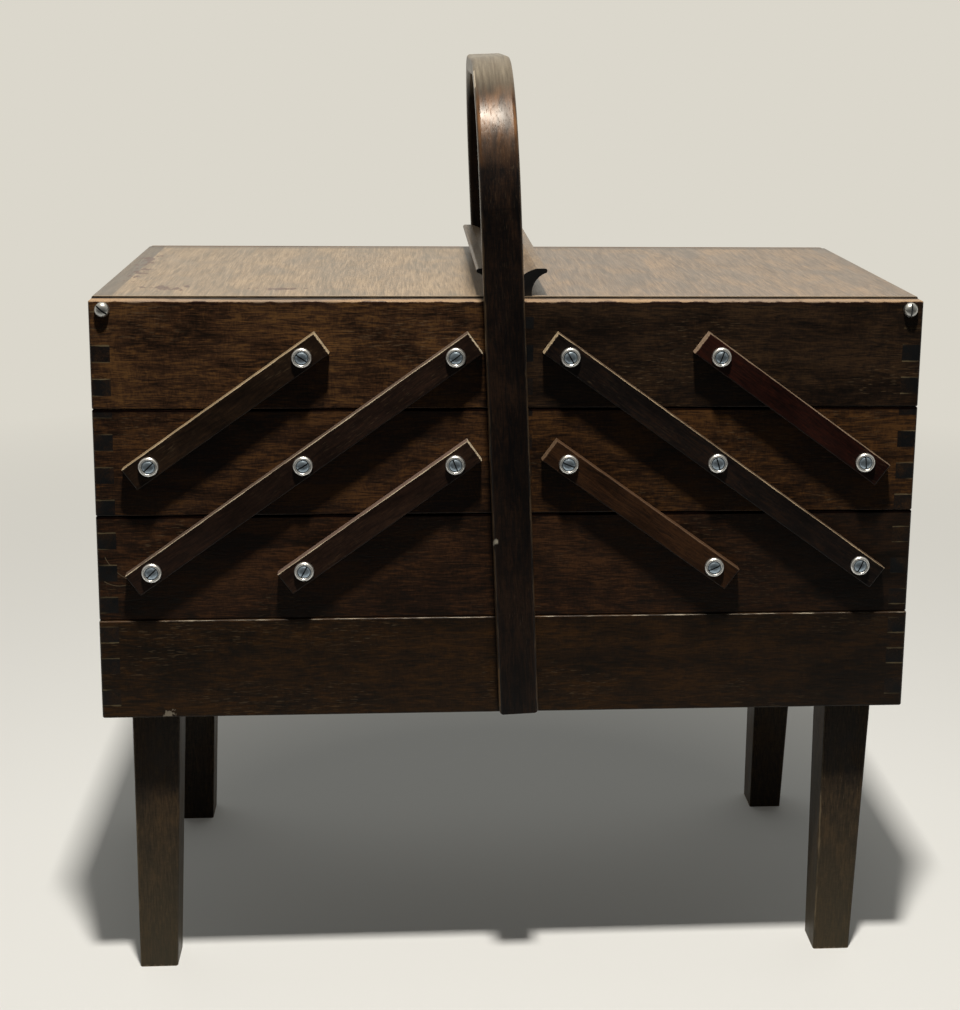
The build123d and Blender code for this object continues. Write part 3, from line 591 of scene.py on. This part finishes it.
LID_SCREW = ((0.4, -22.8), (1.9, -19.8), (1.9, 0.3), (3.75, 0.3), (3.72, 0.9), (3.45, 1.7),
             (2.9, 2.4), (2.1, 2.92), (1.1, 3.22), (0.3, 3.3))
LID_PIVOT_X, LID_PIVOT_Z = 203.0, 361.8
dome_pattern = turned(LID_SCREW)
dome_pattern.data.materials.append(bright_zinc("round_head_zinc_plate", "#bfbfbc", 0.3))
cut_slot(dome_pattern, LID_SCREW[-1][1], width=0.85, depth=1.3)
for side, x, angle in (("left", -LID_PIVOT_X, -40.0), ("right", LID_PIVOT_X, 88.0)):
    heads = [place_copy(dome_pattern, x, HALF_DEPTH, LID_PIVOT_Z, front, angle)
             for front in (True, False)]
    screws = join(heads, f"{side}_lid_round_head_screws")
    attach(screws, f"{side}_lid")
    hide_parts(f"{side}_lid_pivot_screws")
for pattern in (cup_pattern, screw_pattern, dome_pattern):
    bpy.data.objects.remove(pattern)

# ---- Handle hoop --------------------------------------------------------------------------------
# A single strap of steam-bent hardwood, stained nearly black and varnished, screwed to the base from
# inside. Its grain follows the bend. Hands have worn its shoulders down to coppery wood, and that copper
# is laid where the lamp's highlight falls on the bends, as painted highlight. The flat top is painted
# grey as painted reflection of the pale surroundings.

HOOP_LEAN, HOOP_MIDDLE = math.radians(2.6), 257.05
HOOP_REACH, HOOP_TOP, HOOP_BEND = 116.7, 486.0, 72.0
HOOP_SKEW = 3.2             # the back foot stands this far right of the front foot
# The lower and upper end, inner edge and tone of each bare chip and scratch
HOOP_CHIPS = ((385, 408, -9.2, "#c9bfae"), (126.5, 129.3, -7.4, "#c4c0b4"), (39, 61, -9.3, "#9a7a56"))


def along_strap(tree, vector, is_direction):
    """Coordinates that follow the strap: x across it, y through its thickness, z along it."""
    upright = add(tree, "VectorRotate", vector, (0, 0, 0 if is_direction else HOOP_MIDDLE), HOOP_LEAN,
                  rotation_type="Y_AXIS")
    if is_direction:
        return upright
    x, y, z = add(tree, "SeparateXYZ", upright).node.outputs
    skewed = add(tree, "Math", y, -HOOP_SKEW / (2 * HOOP_REACH), -HOOP_SKEW / 2,
                 operation="MULTIPLY_ADD")
    x = add(tree, "Math", x, skewed, operation="ADD")
    out = add(tree, "Math", y, operation="ABSOLUTE")
    over = add(tree, "Math", out, HOOP_REACH - HOOP_BEND, operation="SUBTRACT")
    over = add(tree, "Math", over, 0.0, operation="MAXIMUM")
    up = add(tree, "Math", z, HOOP_TOP - HOOP_BEND, operation="SUBTRACT")
    up = add(tree, "Math", up, 0.0, operation="MAXIMUM")
    depth = add(tree, "VectorMath", add(tree, "CombineXYZ", over, up, 0.0), operation="LENGTH")
    run = add(tree, "Math", z, out, operation="SUBTRACT")
    return add(tree, "CombineXYZ", x, depth, run)


def hand_wear_and_sheen(tree, place, colour):
    """Coppery wood on the outside of the shoulders, hand-worn and placed as painted highlight where the
    lamp catches the bends, a painted grey reflection on the flat top, paler arrises, and chips on the
    left edge.
    """
    x, depth, run = add(tree, "SeparateXYZ", place).node.outputs
    edge = add(tree, "Math", x, operation="ABSOLUTE")
    outside = add(tree, "Math", add(tree, "MapRange", depth, HOOP_BEND - 4.0, HOOP_BEND - 0.5),
                  add(tree, "MapRange", edge, 9.2, 10.0, 1.0, 0.0), operation="MULTIPLY")
    # Painted highlight: coppery, hand-worn wood laid on the outer shoulders where the lamp's highlight
    # falls
    bend = add(tree, "Math", add(tree, "MapRange", run, 318.0, 352.0), outside, operation="MULTIPLY")
    flat = add(tree, "MapRange", run, 366.0, 388.0, 1.0, 0.1)
    copper_wear_and_highlight = add(tree, "Math", bend, flat, operation="MULTIPLY")
    mottle = add(tree, "MapRange", grain(tree, place, "z", 26, 3.6), 0.35, 0.62, 0.15, 0.9)
    copper_wear_and_highlight = add(tree, "Math", copper_wear_and_highlight, mottle, operation="MULTIPLY")
    colour = add(tree, "Mix", copper_wear_and_highlight, colour, linear("#7d5a3c"), data_type="RGBA")
    # Painted reflection: the flat top is painted grey, standing in for the pale surroundings in its
    # varnish
    streak = add(tree, "MapRange", grain(tree, place, "z", 30, 1.6), 0.35, 0.65, 0.45, 0.85)
    top = add(tree, "Math", add(tree, "MapRange", run, 372.0, 402.0), streak, operation="MULTIPLY")
    colour = add(tree, "Mix", top, colour, linear("#7e776a"), data_type="RGBA")
    ragged = add(tree, "MapRange", grain(tree, place, "z", 12, 1.5), 0.35, 0.65, -0.5, 0.5)
    edge = add(tree, "Math", edge, ragged, operation="ADD")
    rubbed = add(tree, "MapRange", edge, 9.3, 10.0, 0.0, 0.4)
    colour = add(tree, "Mix", rubbed, colour, linear("#8a7358"), data_type="RGBA")
    # Bare chips on the front strap's left edge, below the top and near the foot, and a scratch between
    front = add(tree, "Math", add(tree, "SeparateXYZ", add(tree, "TexCoord", out=OBJECT), out=Y), 0.0,
                operation="LESS_THAN")
    for low, high, inner, tone in HOOP_CHIPS:
        along = add(tree, "Math", add(tree, "Math", run, (low + high) / 2, operation="SUBTRACT"),
                    operation="ABSOLUTE")
        reach = add(tree, "MapRange", add(tree, "Math", along, ragged, operation="ADD"),
                    (high - low) / 2 - 1, (high - low) / 2, 0.9, 0.0)
        chip = add(tree, "MapRange", x, inner - 0.4, inner, 1.0, 0.0)
        chip = add(tree, "Math", chip, reach, operation="MULTIPLY")
        chip = add(tree, "Math", chip, front, operation="MULTIPLY")
        colour = add(tree, "Mix", chip, colour, linear(tone), data_type="RGBA")
    return colour


dress(stained_wood("hoop_bentwood_varnished", 50, ("#0c0a0b", "#19120f", "#2b1e16"), "z", (0, 1), None,
                   end_tone="#1a130e", flecks=0.1, gloss=(0.3, 0.4), turn=along_strap,
                   marks=hand_wear_and_sheen),
      "handle_hoop")

# ---- Screws inside the base ---------------------------------------------------------------------
# Zinc-plated wood screws, driven from inside the base into the legs and the hoop. They are seen
# only with the trays swung out.

dress(screw_zinc, "base_screws")

# ---- Floor, light and camera --------------------------------------------------------------------
# Pale seamless paper under one small square lamp, with pale surroundings behind the box and a dark
# room in front, so that the shadows under the bars stay deep.

PALE = linear("#dbd7cc")
bpy.ops.object.select_all(action="DESELECT")
bpy.ops.mesh.primitive_plane_add(size=24, location=(0, 0, 0))
floor = bpy.context.object
floor.name = "studio_floor"
paper = bpy.data.materials.new("pale_seamless_paper")
paper.use_nodes = True
tree = paper.node_tree
shader = tree.nodes["Principled BSDF"]
rays = add(tree, "LightPath").node.outputs
place = add(tree, "TexCoord", out=OBJECT)
# Reflections see the paper pale up to 20 cm in front of the box's middle, and dark from 60 cm on
behind = add(tree, "MapRange", add(tree, "SeparateXYZ", place, out=Y), -0.6, -0.2)
seen = add(tree, "Math", rays["Is Glossy Ray"], rays["Is Transmission Ray"], operation="MAXIMUM")
seen = add(tree, "Math", seen, add(tree, "MapRange", behind, 0.0, 1.0, 0.05, 1.0), operation="MULTIPLY")
seen = add(tree, "Math", seen, rays["Is Camera Ray"], operation="MAXIMUM")
# Near the box the paper is lit and keeps the box's shadow, and further out it glows pale by itself
far = add(tree, "MapRange", add(tree, "VectorMath", place, operation="LENGTH"), 0.2, 1.3, 0.06, 1.0)
near = add(tree, "Mix", far, linear("#dce2e8"), linear("#000000"), data_type="RGBA")
shown = add(tree, "Mix", seen, linear("#2e2f31"), near, data_type="RGBA")
tree.links.new(shown, shader.inputs["Base Color"])
tree.links.new(add(tree, "Math", far, seen, operation="MULTIPLY"), shader.inputs["Emission Strength"])
shader.inputs["Emission Color"].default_value = PALE
shader.inputs["Specular IOR Level"].default_value = 0.0
shader.inputs["Roughness"].default_value = 0.8
floor.data.materials.append(paper)

world = bpy.data.worlds.new("studio")
bpy.context.scene.world = world
world.use_nodes = True
tree = world.node_tree
rays = add(tree, "LightPath").node.outputs
edge = add(tree, "MapRange", rays["Is Diffuse Ray"], 0.0, 1.0, -1.6, -0.1)
behind = add(tree, "MapRange", add(tree, "SeparateXYZ", add(tree, "TexCoord"), out=Y), edge, 0.7,
             interpolation_type="SMOOTHSTEP")
around = add(tree, "Mix", behind, linear("#1c1e22"), PALE, data_type="RGBA")
tree.links.new(add(tree, "Mix", rays["Is Camera Ray"], around, PALE, data_type="RGBA"),
               tree.nodes["Background"].inputs["Color"])
tree.links.new(add(tree, "MapRange", rays["Is Diffuse Ray"], 0.0, 1.0, 1.0, 0.6),
               tree.nodes["Background"].inputs["Strength"])

light = bpy.data.lights.new("key_lamp", "AREA")
light.size, light.energy, light.color = 0.11, 44.0, linear("#fff4e4")[:3]
lamp = bpy.data.objects.new("key_lamp", light)
bpy.context.scene.collection.objects.link(lamp)
lamp.location = (-0.02, -0.55, 1.95)
aim = Vector((0.0, -0.05, 0.25)) - lamp.location
lamp.rotation_euler = aim.to_track_quat("-Z", "Y").to_euler()

lens = bpy.data.cameras.new("camera")
lens.lens, lens.shift_x, lens.shift_y = 58.632, -0.03555, -0.16367
camera = bpy.data.objects.new("camera", lens)
bpy.context.scene.collection.objects.link(camera)
camera.location = (-0.05493, -0.91676, 0.49969)
camera.rotation_euler = [math.radians(angle) for angle in (79.326, -0.672, -3.861)]
bpy.context.scene.camera = camera
